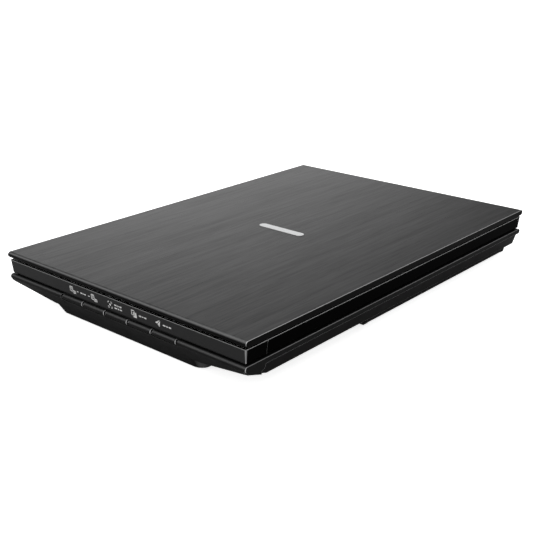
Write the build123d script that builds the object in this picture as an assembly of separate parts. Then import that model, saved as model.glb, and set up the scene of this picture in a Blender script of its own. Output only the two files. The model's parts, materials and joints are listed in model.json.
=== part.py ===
from build123d import *
import os
from math import acos, atan2, cos, degrees, pi, radians, sin, sqrt, tan

# Slim flatbed scanner. Millimetres, +Z up, +X right, -Y the front with the buttons.
# The origin is the centre of the outline, on the plane that the feet stand on.

os.makedirs("parts", exist_ok=True)

# Whole object
WIDTH = 250.0
DEPTH = 367.0
HEIGHT = 42.0
HALF_W = WIDTH / 2
HALF_D = DEPTH / 2
SIDE_EDGE_R = 0.45

# Lid
LID_THICK = 4.7
LID_BOTTOM = HEIGHT - LID_THICK
LID_RIM = 3.2
LID_SKIN = 1.8
PLATE_THICK = 1.2
BADGE = (46.0, 7.5, 0.3)
BADGE_Y = -2.0

# Upper frame: its outside tapers downwards, then rolls under above the lip
DECK_TOP = 35.8
DECK_THICK = 2.0
FRAME_TOP_INSET = 0.9
FRAME_LOW_INSET = 1.9
FRAME_LOW_Z = 26.8
ROLL_INSET = 4.2
ROLL_Z = 24.4
FRAME_BOTTOM = 22.4
SKIRT_THICK = 2.0
CORNER_R = 1.0
EDGE_R = 0.5
SEAM_Y = -162.0
SEAM_GAP = 0.2

# Glass and the window that it lies in
GLASS_W = 226.0
GLASS_FRONT = -159.0
GLASS_REAR = 156.0
GLASS_TOP = 35.0
GLASS_THICK = 2.8
GLASS_BOTTOM = GLASS_TOP - GLASS_THICK
TAPE_THICK = 0.2
LEDGE = 2.5
LEDGE_BOTTOM = 30.4
POCKET_GAP = 0.2

# Lower case
LIP_TOP = 24.1
LIP_INSET = 0.8
LIP_FRONT_INSET = 0.1
LIP_NOSE = 2.2
LIP_SIDE_BOTTOM = 20.2
FLOOR_Z = 10.1
DROP_Z = 1.4
WALL = 1.8
TUB_TOP_HALF = 122.6
TUB_LOW_HALF = 120.0
INNER_HALF_W = 118.4
INNER_HALF_D = 177.0
DROP_HALF = 75.0
DROP_NARROW = 52.0
DROP_NARROW_Y = -62.0
STEP_RUN = 2.4
DROP_FRONT = -171.0
DROP_REAR = 170.0
DROP_LEFT_R = 2.6
DROP_RIGHT_R = 9.0
CORNER_CUT_Z = 10.5

# Buttons in the front lip
BUTTONS = 5
BUTTON_PITCH = 24.4
BUTTON_MIDDLE = 1.4
BUTTON_SLIT = 1.6
BUTTON_TRAVEL = 0.8
BUTTON_LOW = 19.6
BUTTON_GAP = 0.1

# Lid hinges: a post that lifts, with the lid's pin through its head
HINGE_X = 95.0
PIN_Y = 181.0
PIN_Z = 33.8
PIN_R = 1.25
POST_HALF = 6.0
POST_Y = (174.4, 178.0)
POST_BOTTOM = 12.0
CATCH_HALF = 7.5
CATCH_THICK = 2.0
GUIDE_Z = (27.0, 31.2)
HINGE_WELL_HALF = 12.0
RUN_GAP = 0.05
SLIDE_GAP = 0.15

# Stand under the right edge
STAND_X = 113.0
STAND_Z = 6.1
STAND_R = 2.6
STAND_EDGE_X = 115.2
STAND_INNER_X = 64.0
STAND_Y = (-39.0, 166.5)
STAND_PIN_R = 1.4
LUG_FRONT = (-39.3, -44.5, -51.0)
LUG_REAR = (166.8, 172.5, 177.0)
PIN_SINK = 2.0

# Carriage: places here are measured from its own middle line
HOME_Y = -150.5
SENSOR_HALF_X = 110.0
SENSOR_HALF_Y = 5.5
SENSOR_BOTTOM = 20.8
SENSOR_TOP = 31.8
TRAY_Z = (15.5, 17.3)
TRAY_HALF_X = 113.0
TRAY_HALF_Y = 7.5
ROD_R = 3.0
ROD_Z = 12.5
ROD_SEATS = (-165.0, 164.0)
SEAT_HALF = 7.0
BUSH_R = 5.0
SADDLE_HALF_Y = 12.0

# Gear train on the carriage, driven along a fixed rack
PRESSURE = radians(25)
BACKLASH = 0.12
RACK_MODULE = 0.8
RACK_LINE_X = 24.0
RACK_TEETH_Z = (DROP_Z + WALL, 9.4)
DRIVE_TEETH = 14
WHEEL_MODULE = 0.5
WHEEL_TEETH = 48
PINION_TEETH = 12
MESH_GAP = 0.07
DRIVE_X = RACK_LINE_X + RACK_MODULE * DRIVE_TEETH / 2 + MESH_GAP
DRIVE_Y = 6.0
CENTRES = WHEEL_MODULE * (WHEEL_TEETH + PINION_TEETH) / 2 + MESH_GAP
MOTOR_Y = 18.5
MOTOR_X = DRIVE_X + sqrt(CENTRES**2 - (MOTOR_Y - DRIVE_Y) ** 2)
MOTOR_R = 8.0
AXLE_R = 1.5
SHAFT_R = 1.0

# Boards
BOARD_THICK = 1.2
MAIN_BOARD = (-85.0, -15.0, 159.0, 175.0)
MAIN_BOARD_Z = 12.0
SCREW_BITE = 1.6
USB_X = -50.0
BUTTON_BOARD_Y = -170.5


def block(x0, x1, y0, y1, z0, z1):
    """A box between two corners."""
    middle = Pos((x0 + x1) / 2, (y0 + y1) / 2, (z0 + z1) / 2)
    return middle * Box(x1 - x0, y1 - y0, z1 - z0)


def rod_z(x, y, z0, z1, radius):
    return Pos(x, y, (z0 + z1) / 2) * Cylinder(radius, z1 - z0)


def rod_y(x, z, y0, y1, radius):
    return Pos(x, (y0 + y1) / 2, z) * Rot(90, 0, 0) * Cylinder(radius, y1 - y0)


def rod_x(y, z, x0, x1, radius):
    return Pos((x0 + x1) / 2, y, z) * Rot(0, 90, 0) * Cylinder(radius, x1 - x0)


def prism_x(points, x0, x1):
    """A straight-sided (y, z) outline, extruded along X."""
    outline = make_face(Polyline([(x0, y, z) for y, z in points], close=True))
    return extrude(outline, amount=x1 - x0, dir=(1, 0, 0))


def prism_y(points, y0, y1):
    """A straight-sided (x, z) outline, extruded along Y."""
    outline = make_face(Polyline([(x, y0, z) for x, z in points], close=True))
    return extrude(outline, amount=y1 - y0, dir=(0, 1, 0))


def prism_z(points, z0, z1):
    """A straight-sided (x, y) outline, extruded along Z."""
    outline = make_face(Polyline([(x, y, z0) for x, y in points], close=True))
    return extrude(outline, amount=z1 - z0)


def slab(half_x, half_y, z0, z1):
    return block(-half_x, half_x, -half_y, half_y, z0, z1)


def nosed_slab(half_x, half_y, z0, z1):
    """A plate with flat sides and fully rounded front and rear edges."""
    nose = (z1 - z0) / 2
    core = block(-half_x, half_x, -half_y + nose, half_y - nose, z0, z1)
    front = rod_x(-half_y + nose, z0 + nose, -half_x, half_x, nose)
    rear = rod_x(half_y - nose, z0 + nose, -half_x, half_x, nose)
    return core + front + rear


def eased_slab(half_x, half_y, z0, z1):
    """A nosed plate whose two flat sides have softened edges."""
    plate = nosed_slab(half_x, half_y, z0, z1)
    by_x = plate.faces().sort_by(Axis.X)
    return fillet(by_x[0].edges() + by_x[-1].edges(), SIDE_EDGE_R)


def mirrored(part):
    """The part and its copy on the other side of the middle plane."""
    return [part, mirror(part, Plane.YZ)]


def shift(part, y=HOME_Y):
    return Pos(0, y, 0) * part


def save(name, *solids):
    """Writes one node; several solids stay separate inside it."""
    flat = []
    for item in solids:
        group = item if isinstance(item, list) else [item]
        for shape in group:
            flat += shape.solids()
    shape = flat[0] if len(flat) == 1 else Compound(children=flat)
    export_step(shape, f"parts/{name}.step")


# ---------------------------------------------------------------- gears


def involute(angle):
    return tan(angle) - angle


def gear_points(module, teeth, turn):
    """An involute gear's outline; a tooth points along the angle turn."""
    pitch = module * teeth / 2
    base = pitch * cos(PRESSURE)
    tip = pitch + module
    root = pitch - 1.25 * module
    steps = 5
    start = max(base, root)
    half = pi / (2 * teeth) - BACKLASH / (2 * pitch) + involute(PRESSURE)
    flank = []
    for i in range(steps):
        radius = start + (tip - start) * i / (steps - 1)
        flank.append((radius, half - involute(acos(min(1, base / radius)))))
    if root < base:
        flank.insert(0, (root, flank[0][1]))
    points = []
    for tooth in range(teeth):
        middle = turn + 2 * pi * tooth / teeth
        points += [(r * cos(middle - a), r * sin(middle - a)) for r, a in flank]
        points += [(r * cos(middle + a), r * sin(middle + a)) for r, a in reversed(flank)]
    return points


def gear(module, teeth, turn, z0, z1):
    return prism_z(gear_points(module, teeth, turn), z0, z1)


def rack_points(y0, y1):
    """Rack teeth that point along +X, with one tooth's middle level with the drive gear's axis."""
    pitch = pi * RACK_MODULE
    rise = RACK_MODULE
    sink = 1.25 * RACK_MODULE
    half = pitch / 4 - BACKLASH / 2
    middle = HOME_Y + DRIVE_Y
    first = -int((middle - y0 - pitch) / pitch)
    last = int((y1 - middle - pitch) / pitch)
    back = RACK_LINE_X - 4.5
    points = [(back, y1), (back, y0), (RACK_LINE_X - sink, y0)]
    for tooth in range(first, last + 1):
        y = middle + tooth * pitch
        low = half + sink * tan(PRESSURE)
        high = half - rise * tan(PRESSURE)
        points += [(RACK_LINE_X - sink, y - low), (RACK_LINE_X + rise, y - high)]
        points += [(RACK_LINE_X + rise, y + high), (RACK_LINE_X - sink, y + low)]
    points.append((RACK_LINE_X - sink, y1))
    return points


# ---------------------------------------------------------------- screws


def screw(x, y, z_head, length, radius=1.4, head=2.6, rise=1.5):
    """A pan-head screw that is driven upwards, with a cross in its head."""
    body = rod_z(x, y, z_head, z_head + rise, head)
    body += rod_z(x, y, z_head + rise, z_head + length, radius)
    for turn in (0, 90):
        body -= Pos(x, y, z_head) * Rot(0, 0, turn) * Box(head * 1.2, 0.6, rise * 0.8)
    return body


CASE_SCREWS = [(104, -168), (-104, -168), (112, 161), (-112, 161)]
CASE_HEAD_Z = FLOOR_Z + 1.2
BOSS_TOP = 26.0


# ---------------------------------------------------------------- lid


def lid_cover():
    cover = eased_slab(HALF_W, HALF_D, LID_BOTTOM, HEIGHT)
    return cover - slab(HALF_W - LID_RIM, HALF_D - LID_RIM - 1, LID_BOTTOM - 1, HEIGHT - LID_SKIN)


def lid_inner():
    """The panel that closes the lid from below, with stiffening ribs on its upper side."""
    half_x = HALF_W - LID_RIM - 0.2
    half_y = HALF_D - LID_RIM - 1.2
    panel = slab(half_x, half_y, LID_BOTTOM, LID_BOTTOM + PLATE_THICK)
    rib_top = HEIGHT - LID_SKIN - 0.1
    for i in range(-3, 4):
        panel += block(-half_x, half_x, i * 50 - 0.6, i * 50 + 0.6, LID_BOTTOM, rib_top)
    for i in range(-2, 3):
        panel += block(i * 50 - 0.6, i * 50 + 0.6, -half_y, half_y, LID_BOTTOM, rib_top)
    for x, y in LID_SCREWS:
        panel += rod_z(x, y, LID_BOTTOM, rib_top, 2.6)
        panel -= rod_z(x, y, LID_BOTTOM - 1, LID_BOTTOM + 2.4, 1.2)
    return panel


LID_SCREWS = [(s * (HINGE_X + d), 166.0) for s in (-1, 1) for d in (-7, 7)]
BRACKET_BOTTOM = 36.0
EAR_HALF = 9.2
EAR_GAP = 0.25
BOSS_R = 2.1


def lid_bracket():
    """The right hinge's plate under the lid, with two ears around the post's head."""
    plate = block(HINGE_X - 11, HINGE_X + 11, 160, 182.6, BRACKET_BOTTOM, LID_BOTTOM)
    ears = rod_x(PIN_Y, PIN_Z, HINGE_X - EAR_HALF, HINGE_X + EAR_HALF, BOSS_R)
    ears += block(HINGE_X - EAR_HALF, HINGE_X + EAR_HALF, PIN_Y - 1.6, PIN_Y + 1.6, PIN_Z, BRACKET_BOTTOM)
    gap = POST_HALF + EAR_GAP
    ears -= block(HINGE_X - gap, HINGE_X + gap, 170, 190, 25, BRACKET_BOTTOM)
    bracket = plate + ears
    bracket -= rod_x(PIN_Y, PIN_Z, HINGE_X - 15, HINGE_X + 15, PIN_R + RUN_GAP)
    for x in (HINGE_X - 7, HINGE_X + 7):
        bracket -= rod_z(x, 166, BRACKET_BOTTOM - 1, BRACKET_BOTTOM + 0.8, 2.2)
        bracket -= rod_z(x, 166, BRACKET_BOTTOM, LID_BOTTOM + 1, 1.2)
    return bracket


def lid_screws():
    screws = []
    for x, y in LID_SCREWS:
        one = rod_z(x, y, BRACKET_BOTTOM + 0.05, BRACKET_BOTTOM + 0.8, 2.2)
        one += rod_z(x, y, BRACKET_BOTTOM + 0.8, LID_BOTTOM + 2.2, 1.2)
        for turn in (0, 90):
            one -= Pos(x, y, BRACKET_BOTTOM) * Rot(0, 0, turn) * Box(2.6, 0.5, 0.9)
        screws.append(one)
    return screws


PAD_HALF_X = 111.3
PAD_Y = (-157.3, 154.3)
SHEET_BOTTOM = 35.15
SHEET_THICK = 0.3


def lid_parts():
    save("lid_cover", lid_cover())
    save("lid_inner_panel", lid_inner())
    pad_bottom = SHEET_BOTTOM + SHEET_THICK
    save("foam_pad", block(-PAD_HALF_X, PAD_HALF_X, *PAD_Y, pad_bottom, LID_BOTTOM))
    save("backing_sheet", block(-PAD_HALF_X, PAD_HALF_X, *PAD_Y, SHEET_BOTTOM, pad_bottom))
    badge = extrude(Pos(0, BADGE_Y, HEIGHT) * SlotOverall(BADGE[0], BADGE[1]), amount=BADGE[2])
    save("badge_plate", badge)
    save("lid_hinge_brackets", mirrored(lid_bracket()))
    save("lid_screws", lid_screws())
    places = [(x, y) for x in (-118, 118) for y in (-172, 150)]
    save("lid_bumpers", [rod_z(x, y, DECK_TOP + RUN_GAP, LID_BOTTOM, 2.5) for x, y in places])


# ---------------------------------------------------------------- lift hinges


def hinge_post():
    """The right lift post, with a catch at its foot and a head that holds the pin."""
    low, high = HINGE_X - POST_HALF, HINGE_X + POST_HALF
    post = block(low, high, *POST_Y, POST_BOTTOM, 35.6)
    catch_top = POST_BOTTOM + CATCH_THICK
    post += block(HINGE_X - CATCH_HALF, HINGE_X + CATCH_HALF, *POST_Y, POST_BOTTOM, catch_top)
    post += block(low, high, POST_Y[0], PIN_Y, PIN_Z - BOSS_R, PIN_Z + 1.8)
    post += rod_x(PIN_Y, PIN_Z, low, high, BOSS_R)
    post -= rod_x(PIN_Y, PIN_Z, low - 1, high + 1, PIN_R)
    return post


def hinge_parts():
    post = hinge_post()
    save("hinge_post_right", post)
    save("hinge_post_left", mirror(post, Plane.YZ))
    pin = rod_x(PIN_Y, PIN_Z, HINGE_X - EAR_HALF, HINGE_X + EAR_HALF, PIN_R)
    save("hinge_pins", mirrored(pin))


# ---------------------------------------------------------------- upper frame


def frame_profile(offset):
    """The taper and the roll-under of the frame's outside, as (inset, z), moved inwards by offset."""
    roll = ROLL_INSET - FRAME_LOW_INSET
    drop = FRAME_LOW_Z - ROLL_Z
    curve = []
    for i in range(7):
        angle = radians(15 * i)
        curve.append((FRAME_LOW_INSET + roll * (1 - cos(angle)), FRAME_LOW_Z - drop * sin(angle)))
    points = [(FRAME_TOP_INSET, DECK_TOP)] + curve + [(ROLL_INSET, FRAME_BOTTOM)]
    return [(inset + offset, z) for inset, z in points]


def both_ways(points):
    """A solid with the same (inset, z) outline on all four sides."""
    across = [(HALF_W - inset, z) for inset, z in points]
    across += [(-x, z) for x, z in reversed(across)]
    along = [(HALF_D - inset, z) for inset, z in points]
    along += [(-y, z) for y, z in reversed(along)]
    return prism_y(across, -HALF_D, HALF_D) & prism_x(along, -HALF_W, HALF_W)


def frame_shell():
    """The frame's outside, with rounded upright corners."""
    plan = RectangleRounded(WIDTH - 2 * FRAME_LOW_INSET, DEPTH - 2 * FRAME_LOW_INSET, CORNER_R)
    rise = DECK_TOP - FRAME_LOW_Z
    flare = degrees(atan2(FRAME_LOW_INSET - FRAME_TOP_INSET, rise))
    taper = extrude(Pos(0, 0, FRAME_LOW_Z) * plan, amount=rise, taper=-flare)
    crown = [(0, FRAME_LOW_Z), (0, DECK_TOP - EDGE_R)]
    for turn in range(0, 91, 18):
        angle = radians(turn)
        crown.append((FRAME_TOP_INSET + EDGE_R * (1 - cos(angle)), DECK_TOP - EDGE_R * (1 - sin(angle))))
    under = [point for point in frame_profile(0) if point[1] <= FRAME_LOW_Z]
    lower = both_ways(under) & extrude(Pos(0, 0, FRAME_BOTTOM) * plan, amount=HEIGHT)
    return (taper & both_ways(crown)) + lower


def upper_frame(outer):
    inner = both_ways(frame_profile(SKIRT_THICK))
    below_deck = slab(HALF_W, HALF_D, 0, DECK_TOP - DECK_THICK)
    frame = outer - (inner & below_deck)
    glass_low = GLASS_BOTTOM - TAPE_THICK
    pocket_x = GLASS_W / 2 + POCKET_GAP
    pocket_y = (GLASS_FRONT - POCKET_GAP, GLASS_REAR + POCKET_GAP)
    rim = block(-pocket_x - 2, pocket_x + 2, pocket_y[0] - 2, pocket_y[1] + 2, LEDGE_BOTTOM, DECK_TOP)
    frame += rim
    frame -= block(-pocket_x, pocket_x, *pocket_y, glass_low, DECK_TOP + 1)
    frame -= block(-GLASS_W / 2 + LEDGE, GLASS_W / 2 - LEDGE, GLASS_FRONT + LEDGE, GLASS_REAR - LEDGE,
                   LEDGE_BOTTOM - 1, DECK_TOP)
    # The front trim takes the place of the skirt ahead of the seam.
    ahead = block(-HALF_W, HALF_W, -HALF_D, SEAM_Y + SEAM_GAP, 0, HEIGHT)
    frame -= ahead - both_ways(frame_profile(SKIRT_THICK + 0.1))
    for x in (-HINGE_X, HINGE_X):
        guide_half = CATCH_HALF + 1
        frame += block(x - guide_half, x + guide_half, POST_Y[0] - 2, HALF_D - 2.9, *GUIDE_Z)
        frame -= block(x - HINGE_WELL_HALF, x + HINGE_WELL_HALF,
                       POST_Y[0] - 1.5, HALF_D + 1, GUIDE_Z[1], HEIGHT)
        frame -= block(x - POST_HALF - SLIDE_GAP, x + POST_HALF + SLIDE_GAP,
                       POST_Y[0] - SLIDE_GAP, POST_Y[1] + SLIDE_GAP, FRAME_BOTTOM - 1, HEIGHT)
        # Room for the post's catch when the post is fully lifted.
        catch_room = CATCH_HALF + 0.5
        frame -= block(x - catch_room, x + catch_room,
                       POST_Y[0] - 1, POST_Y[1] + 0.2, FRAME_BOTTOM - 1, GUIDE_Z[0])
    for x, y in CASE_SCREWS:
        frame += rod_z(x, y, BOSS_TOP + 0.1, DECK_TOP - DECK_THICK, 3.2)
        frame -= rod_z(x, y, BOSS_TOP, DECK_TOP - DECK_THICK - 1, 1.4)
    return frame


def front_trim(outer):
    """The printed front panel, with a short return along each side."""
    inner = both_ways(frame_profile(SKIRT_THICK))
    keep = block(-HALF_W, HALF_W, -HALF_D, SEAM_Y, 0, HEIGHT)
    return (outer - inner) & keep


def glass_parts():
    half = GLASS_W / 2
    save("platen_glass", block(-half, half, GLASS_FRONT, GLASS_REAR, GLASS_BOTTOM, GLASS_TOP))
    tape = block(-half, half, GLASS_FRONT, GLASS_REAR, GLASS_BOTTOM - TAPE_THICK, GLASS_BOTTOM)
    tape -= block(-half + LEDGE, half - LEDGE, GLASS_FRONT + LEDGE, GLASS_REAR - LEDGE, 30, 34)
    save("glass_tape", tape)
    strip = block(-102, 102, GLASS_FRONT + 3, GLASS_FRONT + 9, GLASS_BOTTOM - 0.1, GLASS_BOTTOM)
    save("calibration_strip", strip)


# ---------------------------------------------------------------- lower case


def front_slope(z):
    """How far forward the lower case's front wall stands at a height."""
    return DROP_FRONT - (z - DROP_Z) * (182.9 + DROP_FRONT) / (LIP_SIDE_BOTTOM - DROP_Z)


def corner_cut(lift):
    """The space under both swept front corners, as solids to take away."""
    cuts = []
    top = CORNER_CUT_Z + lift
    for side in (-1, 1):
        near = (side * 84, -175)
        rise_x, rise_y = 0.14, -0.335

        def height(x, y):
            return top + rise_x * (abs(x) - abs(near[0])) + rise_y * (y - near[1])

        # A sloping slab: the plane through the corner, cut off level with the floor behind.
        corners = [(side * 60, -190), (side * 140, -190), (side * 140, -140), (side * 60, -140)]
        low = [(x, y, -20) for x, y in corners]
        high = [(x, y, height(x, y)) for x, y in corners]
        cuts.append(hexahedron(low, high))
    return cuts


def hexahedron(low, high):
    """A solid between four lower and four upper corners, each set in one plane."""
    loops = [low, high]
    for i in range(4):
        j = (i + 1) % 4
        loops.append([low[i], low[j], high[j], high[i]])
    return Solid(Shell([Face(Wire.make_polygon(loop)) for loop in loops]))


def tub(grow, floor, top):
    """The case below its lip, as one solid; grow moves every wall inwards."""
    low, high = TUB_LOW_HALF - grow, TUB_TOP_HALF - grow
    slope = (high - low) / (LIP_SIDE_BOTTOM - FLOOR_Z)
    across = [(low, floor), (low + slope * (top - floor), top)]
    across += [(-x, z) for x, z in reversed(across)]
    along = [(front_slope(floor) + grow, floor), (front_slope(top) + grow, top),
             (181.2 - grow, top), (179.6 - grow, floor)]
    return prism_y(across, -HALF_D, HALF_D) & prism_x(along, -HALF_W, HALF_W)


def drop(grow, floor, top):
    """The deeper middle of the case, narrower on the right where the stand folds away."""
    wide, narrow = DROP_HALF - grow, DROP_NARROW - grow

    def step(half):
        """One side's outline from the floor up, with an eased lower edge."""
        eased = [(half - 1.6, floor), (half - 0.2, floor + 0.5), (half + 0.6, floor + 1.6)]
        return eased + [(half + STEP_RUN, top)]

    left = [(-x, z) for x, z in reversed(step(wide))]
    ahead = prism_y(left + step(wide), -HALF_D, DROP_NARROW_Y - grow)
    behind = prism_y(left + step(narrow), -HALF_D, HALF_D)
    front, rear = front_slope(floor) + grow, DROP_REAR - grow
    along = [(front, floor), (front_slope(top) + grow, top), (rear + STEP_RUN, top), (rear, floor)]
    # The upright corners are rounded most at the floor, and more on the right.
    plan = Pos(0, (front + rear) / 2, floor) * Rectangle(2 * wide, rear - front)
    plan = fillet(plan.vertices().group_by(Axis.X)[0], DROP_LEFT_R - grow)
    plan = fillet(plan.vertices().group_by(Axis.X)[-1], DROP_RIGHT_R - grow)
    flare = degrees(atan2(front - front_slope(top) - grow, top - floor))
    corners = extrude(plan, amount=top - floor, taper=-flare)
    return (ahead + behind) & prism_x(along, -HALF_W, HALF_W) & corners


CHEEK_REAR = -164.0


def case_outside():
    lip_half_y = HALF_D - LIP_FRONT_INSET
    lip = eased_slab(HALF_W - LIP_INSET, lip_half_y, LIP_TOP - 2 * LIP_NOSE, LIP_TOP)
    lip -= block(-HALF_W, HALF_W, SEAM_Y - 2, HALF_D - LIP_NOSE - 4, 0, LIP_SIDE_BOTTOM)
    case = lip + tub(0, FLOOR_Z, LIP_SIDE_BOTTOM + 0.5)
    # At the front corners the side wall stands flush with the lip, down to the swept underside.
    cheek = [(front_slope(5), 5), (front_slope(LIP_SIDE_BOTTOM), LIP_SIDE_BOTTOM + 0.5)]
    for turn in range(0, 91, 15):
        angle = radians(turn)
        cheek.append((CHEEK_REAR - 4 * (1 - cos(angle)), LIP_SIDE_BOTTOM - 4 * sin(angle)))
    cheek.append((CHEEK_REAR - 4, 5))
    for side in (-1, 1):
        x = sorted((side * 115, side * (HALF_W - LIP_INSET)))
        case += prism_x(cheek, *x)
    for cut in corner_cut(0):
        case -= cut
    case += drop(0, DROP_Z, FLOOR_Z + 0.5)
    return case


def stand_lug(tip, low_end, floor_end):
    """A wedge that hangs from the floor and holds one stand pin."""
    low, high = STAND_Z - STAND_R, FLOOR_Z + 0.5
    points = [(tip, low), (tip, high), (floor_end, high), (low_end, low)]
    return prism_x(points, STAND_X - 3, STAND_EDGE_X)


def lower_case():
    case = case_outside()
    filled = case_outside()
    hollow = tub(WALL + 0.3, FLOOR_Z + WALL, LIP_TOP + 1) & slab(INNER_HALF_W, INNER_HALF_D, 0, HEIGHT)
    for cut in corner_cut(WALL + 0.2):
        hollow -= cut
    hollow += drop(WALL, DROP_Z + WALL, FLOOR_Z + WALL + 1)
    case -= hollow
    # The frame's foot drops in behind the lip.
    seat_x, seat_y = HALF_W - ROLL_INSET + 0.1, HALF_D - ROLL_INSET + 0.1
    case -= slab(seat_x, seat_y, FRAME_BOTTOM, HEIGHT)
    # One long slot in the lip takes all the buttons.
    half = BUTTONS * BUTTON_PITCH / 2 + BUTTON_SLIT / 2
    left, right = BUTTON_MIDDLE - half, BUTTON_MIDDLE + half
    case -= block(left, right, -HALF_D - 1, -INNER_HALF_D + 1, BUTTON_LOW, HEIGHT)
    for x, y in CASE_SCREWS:
        case += rod_z(x, y, FLOOR_Z + 1, BOSS_TOP, 3.6)
        case -= rod_z(x, y, 0, CASE_HEAD_Z + 1.5, 2.9)
        case -= rod_z(x, y, 0, BOSS_TOP + 1, 1.4)
    catch_room = CATCH_HALF + 0.5
    for x in (-HINGE_X, HINGE_X):
        case -= block(x - catch_room, x + catch_room, POST_Y[0] - 1, POST_Y[1] + 0.2, FLOOR_Z + WALL, HEIGHT)
    case -= block(USB_X - 4.9, USB_X + 4.9, 172, HALF_D, 13.0, 16.7)
    for x in (MAIN_BOARD[0] + 4, MAIN_BOARD[1] - 4):
        for y in (MAIN_BOARD[2] + 3.5, MAIN_BOARD[3] - 3.5):
            case += rod_z(x, y, DROP_Z, MAIN_BOARD_Z, 2.2) & filled
            case -= rod_z(x, y, MAIN_BOARD_Z - SCREW_BITE - 0.2, MAIN_BOARD_Z + 1, 1.0)
    for x in (-58, 58):
        case += block(x - 2, x + 2, BUTTON_BOARD_Y + BOARD_THICK + 0.1, BUTTON_BOARD_Y + 4.5, DROP_Z + 1, 20)
    for y in ROD_SEATS:
        case += block(-SEAT_HALF, SEAT_HALF, y - 2.5, y + 2.5, DROP_Z + 1, ROD_Z)
    case -= rod_y(0, ROD_Z, ROD_SEATS[0] - 3, ROD_SEATS[1] + 3, ROD_R)
    for lug in (LUG_FRONT, LUG_REAR):
        case += stand_lug(*lug)
    case -= rod_y(STAND_X, STAND_Z, LUG_FRONT[1] + PIN_SINK, LUG_REAR[1] - PIN_SINK, STAND_PIN_R)
    for foot in foot_shapes(0.0):
        case -= foot
    return case


FRONT_FEET = [(64, -158), (-64, -158)]
REAR_FEET = [(-66, 158), (40, 158)]


def foot_shapes(low, places=None):
    """Rubber feet: rounded pads set into shallow sockets in the underside."""
    feet = []
    for x, y in places or FRONT_FEET + REAR_FEET:
        pad = extrude(Pos(x, y, low) * SlotOverall(13, 6), amount=DROP_Z + 0.6 - low)
        feet.append(fillet(pad.faces().sort_by(Axis.Z)[0].edges(), 1.2))
    return feet


def rod_clamp(y):
    clamp = block(-SEAT_HALF, SEAT_HALF, y - 2.5, y + 2.5, ROD_Z, ROD_Z + 5)
    return clamp - rod_y(0, ROD_Z, y - 5, y + 5, ROD_R)


def base_parts():
    outer = frame_shell()
    save("upper_frame", upper_frame(outer))
    save("front_trim", front_trim(outer))
    save("lower_case", lower_case())
    save("case_screws", [screw(x, y, CASE_HEAD_Z, 18.5) for x, y in CASE_SCREWS])
    save("front_feet", foot_shapes(0, FRONT_FEET))
    save("rear_feet", foot_shapes(0, REAR_FEET))
    save("guide_rod", rod_y(0, ROD_Z, ROD_SEATS[0] - 2.4, ROD_SEATS[1] + 2.4, ROD_R))
    save("rod_clamps", [rod_clamp(y) for y in ROD_SEATS])
    save("drive_rack", prism_z(rack_points(-166, 166), *RACK_TEETH_Z))
    glass_parts()


# ---------------------------------------------------------------- boards


def usb_socket():
    body = block(USB_X - 4.5, USB_X + 4.5, 171.5, 179.4, MAIN_BOARD_Z + BOARD_THICK, 16.5)
    body = fillet(body.edges().filter_by(Axis.Y), 1.4)
    mouth = block(USB_X - 4.1, USB_X + 4.1, 173.5, 180, MAIN_BOARD_Z + BOARD_THICK + 0.4, 16.1)
    body -= fillet(mouth.edges().filter_by(Axis.Y), 1.2)
    tongue_z = (MAIN_BOARD_Z + BOARD_THICK + 16.5) / 2
    return body + block(USB_X - 3.3, USB_X + 3.3, 173, 178.4, tongue_z - 0.35, tongue_z + 0.35)


CHIPS = [(-72, 167, 10, 10, 1.4), (-58, 164, 6, 4, 1.2), (-34, 167, 7, 7, 1.2), (-24, 164, 4, 6, 1.6)]
PLUG_X = -40.0
CABLE_HALF = 8.0
CABLE_THICK = 0.15


def board_parts():
    x0, x1, y0, y1 = MAIN_BOARD
    board = block(x0, x1, y0, y1, MAIN_BOARD_Z, MAIN_BOARD_Z + BOARD_THICK)
    holes = [(x, y) for x in (x0 + 4, x1 - 4) for y in (y0 + 3.5, y1 - 3.5)]
    for x, y in holes:
        board -= rod_z(x, y, 0, 20, 1.0)
    save("main_board", board)
    top = MAIN_BOARD_Z + BOARD_THICK
    chips = [Pos(x, y, top + h / 2) * Box(a, b, h) for x, y, a, b, h in CHIPS]
    save("board_chips", chips)
    save("usb_socket", usb_socket())
    screws = []
    for x, y in holes:
        screws.append(rod_z(x, y, top, top + 1.2, 1.9) + rod_z(x, y, MAIN_BOARD_Z - SCREW_BITE, top, 1.0))
    save("board_screws", screws)
    half = BUTTONS * BUTTON_PITCH / 2 + 3
    save("button_board", block(BUTTON_MIDDLE - half, BUTTON_MIDDLE + half,
                               BUTTON_BOARD_Y, BUTTON_BOARD_Y + BOARD_THICK, 12, 24))
    switches = []
    for i in range(BUTTONS):
        x = button_x(i)
        body = block(x - 3, x + 3, BUTTON_BOARD_Y - 3.1, BUTTON_BOARD_Y, 18, 24)
        switches.append(body + rod_y(x, 21, BUTTON_BOARD_Y - 4.1, BUTTON_BOARD_Y - 3, 1.6))
    save("button_switches", switches)
    low = DROP_Z + WALL
    run = block(PLUG_X - CABLE_HALF, PLUG_X + CABLE_HALF, -10, 158.7, low, low + CABLE_THICK)
    run += block(PLUG_X - CABLE_HALF, PLUG_X + CABLE_HALF, 158.7 - CABLE_THICK, 158.7, low, top + 0.6)
    run += block(PLUG_X - CABLE_HALF, PLUG_X + CABLE_HALF, 158.5, 160.4, top + 0.45, top + 0.6)
    save("cable_run", run)


# ---------------------------------------------------------------- buttons


def button_x(index):
    """The middle of one button; the row stands a little to the right of the middle plane."""
    return BUTTON_MIDDLE + (index - (BUTTONS - 1) / 2) * BUTTON_PITCH


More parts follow.
